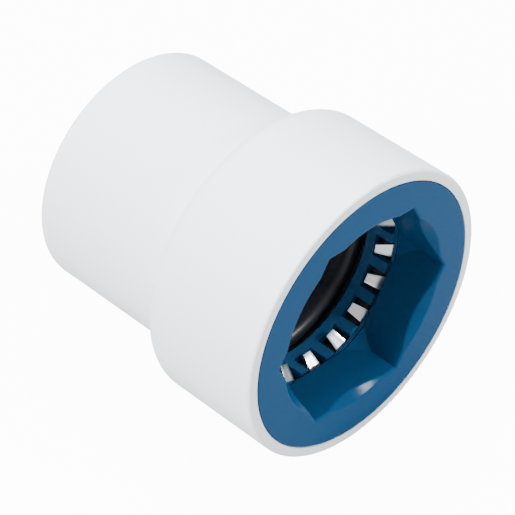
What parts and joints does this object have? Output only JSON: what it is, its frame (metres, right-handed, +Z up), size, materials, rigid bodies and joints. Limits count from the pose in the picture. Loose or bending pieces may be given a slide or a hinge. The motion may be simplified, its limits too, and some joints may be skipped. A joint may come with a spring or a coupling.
{
  "type": "push fit coupling",
  "caption": "Reducing push-fit pipe coupling: a stepped white body with a blue hexagonal-recess retainer, release ring, toothed grab ring and seal in each mouth.",
  "frame": {"origin": "middle of the body's length, on the common axis of the two sockets", "axes": "+X out of the large mouth, -X out of the small mouth, +Z up"},
  "size_m": [0.0562, 0.0546, 0.0546],
  "materials": {
    "body_pvc": "smooth moulded white PVC",
    "retainer_plastic": "fine satin blue moulding",
    "release_plastic": "satin blue moulding",
    "backing_plastic": "satin black moulding",
    "washer_plastic": "black moulded washer",
    "grab_steel": "bright rolled spring steel",
    "seal_rubber": "moulded black rubber, lightly greased"
  },
  "bodies": {
    "housing": {"coupling_body": "body_pvc", "large_retainer": "retainer_plastic", "large_backing_ring": "backing_plastic", "large_seal_washer": "washer_plastic", "large_seal": "seal_rubber", "small_retainer": "retainer_plastic", "small_backing_ring": "backing_plastic", "small_seal_washer": "washer_plastic", "small_seal": "seal_rubber"},
    "large_grip": {"large_grab_ring": "grab_steel"},
    "large_release": {"large_release_ring": "release_plastic"},
    "small_grip": {"small_grab_ring": "grab_steel"},
    "small_release": {"small_release_ring": "release_plastic"}
  },
  "joints": [
    {"name": "large_grip_spin", "type": "hinge", "parent": "housing", "child": "large_grip", "pos_m": [0.0178, 0, 0], "axis": [1, 0, 0], "continuous": true},
    {"name": "large_release_push", "type": "slide", "parent": "large_grip", "child": "large_release", "axis": [-1, 0, 0], "range_m": [0, 0.0012], "stiffness_N_per_m": 3000, "deforming": ["large_grab_ring"]},
    {"name": "small_grip_spin", "type": "hinge", "parent": "housing", "child": "small_grip", "pos_m": [-0.0194, 0, 0], "axis": [-1, 0, 0], "continuous": true},
    {"name": "small_release_push", "type": "slide", "parent": "small_grip", "child": "small_release", "axis": [1, 0, 0], "range_m": [0, 0.0011], "stiffness_N_per_m": 3000, "deforming": ["small_grab_ring"]}
  ]
}
